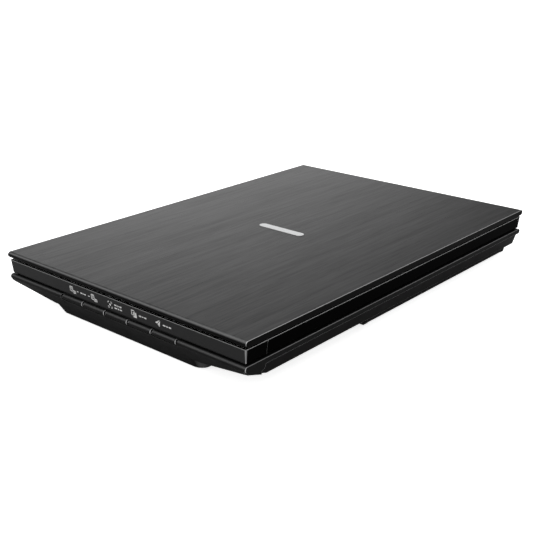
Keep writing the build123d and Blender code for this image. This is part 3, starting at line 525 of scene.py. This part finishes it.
def pair_icon(u, v=ROW_FOOT):
    """Two overlapping sheets, the front one solid."""
    return outline_rect(u, v + 1.4, 3.6, 4.2, LINE) + [shape_rect(u + 1.9, v, 3.4, 4.0)]


def dart_icon(u, v=ROW_FOOT):
    """A folded paper dart: two slim triangles."""
    return [[(u, v + 3.0), (u + 5.2, v + 5.8), (u + 2.0, v + 2.4)],
            [(u + 2.4, v + 2.1), (u + 5.4, v + 5.4), (u + 4.0, v + 0.2)]]


def dash(u):
    return [bar(u, ROW_FOOT + 2.4, 2.0, LINE)]


def word_bars(u, width, rise=2.2, lines=1):
    """Three plain bars in each line stand where words would be."""
    pitch, height, gap = 2.4, 1.1, 0.06
    marks = []
    for line in range(lines):
        x = u
        for share in (0.34, 0.2, 0.3):
            marks.append(bar(x, ROW_FOOT + rise + line * pitch, width * share, height))
            x += width * (share + gap)
    return marks


def front_marks():
    """The row of generic icons on the front trim, over the buttons."""
    foot = Vector((ROW_SHIFT * MM, TRIM_LOW.y + FACE_LEAN * MM, TRIM_HIGH.z - FACE_FOOT * MM))
    slope = Vector((0, -FACE_LEAN, FACE_FOOT - FACE_TOP)).normalized()
    outward = Vector((0, -slope.z, slope.y))
    right = Vector((1, 0, 0))

    def place(u, v, level):
        return foot + (right * u + slope * v + outward * (level + PRINT_GAP)) * MM

    marks = page_icon(-51.2) + dash(-43.2) + word_bars(-39.2, 6.6) + dash(-30.4) + page_icon(-26.8)
    marks += frame_icon(-8.4) + word_bars(-1.6, 8.4, rise=0.8, lines=2)
    marks += pair_icon(16.4) + word_bars(24.0, 8.2)
    marks += dart_icon(40.4) + word_bars(47.8, 8.6)
    fix_to_base(joined_plates("front_printed_marks", marks, place, PRINT_THICKNESS, PRINT))


def deck_marks():
    """Sheet-size ticks and an alignment arrow on the deck around the glass."""

    def place(u, v, level):
        return Vector((u * MM, v * MM, TRIM_HIGH.z + (level + PRINT_GAP) * MM))

    right = GLASS_HIGH.x / MM + 2.2
    front = GLASS_LOW.y / MM
    marks = [[(right + 0.4, front + 2.0), (right + 5.4, front + 4.4), (right + 5.4, front - 0.4)]]
    marks += [bar(right, front + length, TICK_LENGTH, TICK_WIDTH) for length in SHEET_LENGTHS]
    marks += [bar(right - 2.2 - width, front - 5.6, TICK_WIDTH, TICK_LENGTH) for width in SHEET_WIDTHS]
    fix_to_base(joined_plates("deck_printed_marks", marks, place, PRINT_THICKNESS, PRINT))


def rating_label():
    """A blank label with a thin border under the case."""

    def under(clearance):
        return lambda u, v, level: Vector((u * MM, v * MM, CASE_LOW.z - (level + clearance) * MM))

    clearance = 0.01
    left, front, width, depth = LABEL_BOX
    border = outline_rect(left + LABEL_INSET, front + LABEL_INSET, width - 2 * LABEL_INSET,
                          depth - 2 * LABEL_INSET, 0.5)
    plate = joined_plates("blank_label", [shape_rect(*LABEL_BOX)], under(clearance), LABEL_THICKNESS, LABEL)
    rim = joined_plates("blank_label_border", border, under(clearance + LABEL_THICKNESS), PRINT_THICKNESS,
                        PRINT)
    fix_to_base(plate)
    fix_to_base(rim)


# ------------------------------------------------------------------ soft pad


def pad_edge(share):
    """The pad's height at a share of its half width or length: full inside, rolling off at the edges."""
    away = max(0.0, (abs(share) - PAD_RIM[0]) / (1 - PAD_RIM[0]))
    return math.sqrt(max(0.0, 1 - away * away))


def pad_stations(count):
    """Even shares from -1 to 1, with more of them where the edges roll off."""
    even = [-1 + 2 * i / count for i in range(1, count)]
    return sorted({-share for share in PAD_RIM}.union(even, PAD_RIM))


def foam_piece():
    """The lid's foam pad: a soft slab with rounded edges and an uneven face."""
    middle = (PAD_HIGH + PAD_LOW) / 2
    half = (PAD_HIGH - PAD_LOW) / 2
    us, vs = (pad_stations(count) for count in PAD_SQUARES)
    columns, rows = len(us), len(vs)
    points = []
    for side in (1, -1):
        for v in vs:
            for u in us:
                soft = PAD_EDGE_SHARE + (1 - PAD_EDGE_SHARE) * pad_edge(u) * pad_edge(v)
                dimple = PAD_DIMPLE * math.sin(31 * u + 5 * v) * math.sin(43 * v - 3 * u)
                thinner = (PAD_SAG + dimple * 0.6) * (side < 0)
                points.append(middle + Vector((u * (half.x - PAD_MARGIN), v * (half.y - PAD_MARGIN),
                                               side * half.z * soft * (1 - thinner))))

    def at(level, row, column):
        return (level * rows + row) * columns + column

    faces = []
    for row in range(rows - 1):
        for column in range(columns - 1):
            corners = ((row, column), (row, column + 1), (row + 1, column + 1), (row + 1, column))
            faces.append([at(0, *corner) for corner in corners])
            faces.append([at(1, *corner) for corner in reversed(corners)])
    rim = [(0, column) for column in range(columns)]
    rim += [(row, columns - 1) for row in range(1, rows)]
    rim += [(rows - 1, column) for column in reversed(range(columns - 1))]
    rim += [(row, 0) for row in reversed(range(1, rows - 1))]
    for here, there in zip(rim, rim[1:] + rim[:1]):
        faces.append([at(1, *here), at(1, *there), at(0, *there), at(0, *here)])
    pad = mesh_object("foam_pad_soft", points, faces, MATERIALS["foam"])
    for polygon in pad.data.polygons:
        polygon.use_smooth = True
    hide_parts("foam_pad")
    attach(pad, "lid")


# ------------------------------------------------------------------ studio


def floor():
    """Pale paper. Only the camera sees it white, so that little of it shines back onto the black sides."""
    n = Nodes("studio_floor")
    seen = n.add("ShaderNodeLightPath").outputs["Is Camera Ray"]
    tone = n.spread(n.noise((3, 3, 3)), *FLOOR_TONE)
    tone = n.math("MULTIPLY", tone, n.spread(seen, FLOOR_SEEN_BY_OBJECT, 1.0, 0.0, 1.0))
    shade = n.add("ShaderNodeCombineColor")
    for channel in ("Red", "Green", "Blue"):
        n.link(tone, shade.inputs[channel])
    n.set(Base_Color=shade.outputs["Color"], Roughness=0.9, Specular_IOR_Level=0.0)
    n.set(Emission_Color=(1, 1, 1, 1), Emission_Strength=n.math("MULTIPLY", seen, FLOOR_GLOW))
    corners = [(x * FLOOR_HALF, y * FLOOR_HALF, 0) for x, y in ((-1, -1), (1, -1), (1, 1), (-1, 1))]
    mesh_object("studio_floor", corners, [(0, 1, 2, 3)], n.material)


def direction_of(azimuth, elevation):
    """The unit vector towards an azimuth, from the front towards +X, and an elevation, both in radians."""
    flat = math.cos(elevation)
    return Vector((flat * math.sin(azimuth), -flat * math.cos(azimuth), math.sin(elevation)))


def place_object(name, data, place, towards):
    """Adds a lamp or camera at a place, looking along a direction."""
    obj = bpy.data.objects.new(name, data)
    bpy.context.scene.collection.objects.link(obj)
    obj.location = place
    obj.rotation_euler = towards.to_track_quat("-Z", "Y").to_euler()
    return obj


def area_light(name, place, target, size, power):
    data = bpy.data.lights.new(name, "AREA")
    data.shape = "RECTANGLE"
    data.size, data.size_y = size
    data.energy = power
    place_object(name, data, place, Vector(target) - Vector(place))


def studio_world():
    """Even white light for matt surfaces. Polished ones see a dark room with a glow behind on the left, a
    weaker one opposite it, and a soft ceiling that picks out the upper edges. The camera sees white."""
    world = bpy.data.worlds.new("studio_world")
    bpy.context.scene.world = world
    world.use_nodes = True
    n = Tree(world.node_tree)
    rays = n.add("ShaderNodeLightPath").outputs
    direction = n.add("ShaderNodeTexCoord").outputs["Generated"]
    middle = direction_of(math.radians(GLOW_AZIMUTH), math.radians(GLOW_ELEVATION))
    towards = n.dot(direction, middle)
    either = n.math("MAXIMUM", towards, n.math("MULTIPLY", towards, -GLOW_OPPOSITE))
    rim = math.cos(math.radians(GLOW_SPREAD))
    glow = n.spread(either, GLOW_DIM, GLOW_BRIGHT, rim, 1.0, "SMOOTHSTEP")
    ceiling = n.spread(n.parts(direction)["Z"], 0.0, CEILING, *CEILING_RANGE, "SMOOTHSTEP")
    lit = n.choose(rays["Is Glossy Ray"], ROOM_LIGHT, n.math("MAXIMUM", glow, ceiling))
    background = n.tree.nodes["Background"]
    background.inputs["Color"].default_value = (1, 1, 1, 1)
    n.link(n.choose(rays["Is Camera Ray"], lit, 1.0), background.inputs["Strength"])


def lights():
    studio_world()
    area_light("overhead", place=(-0.5, 0.1, 1.9), target=(0, 0, 0), size=(1.6, 1.6), power=12)
    area_light("front_left", place=(-0.9, -1.7, 0.8), target=(0, -0.1, 0.02), size=(1.2, 0.7), power=7)


def camera():
    data = bpy.data.cameras.new("camera")
    data.lens = CAMERA_LENS
    data.sensor_width = CAMERA_SENSOR
    data.clip_start = 0.01
    back = direction_of(CAMERA_AZIMUTH, CAMERA_ELEVATION)
    bpy.context.scene.camera = place_object("camera", data, CAMERA_TARGET + back * CAMERA_DISTANCE, -back)
    bpy.context.scene.view_settings.view_transform = "Standard"


paint_cad()
foam_piece()
front_marks()
deck_marks()
rating_label()
floor()
lights()
camera()
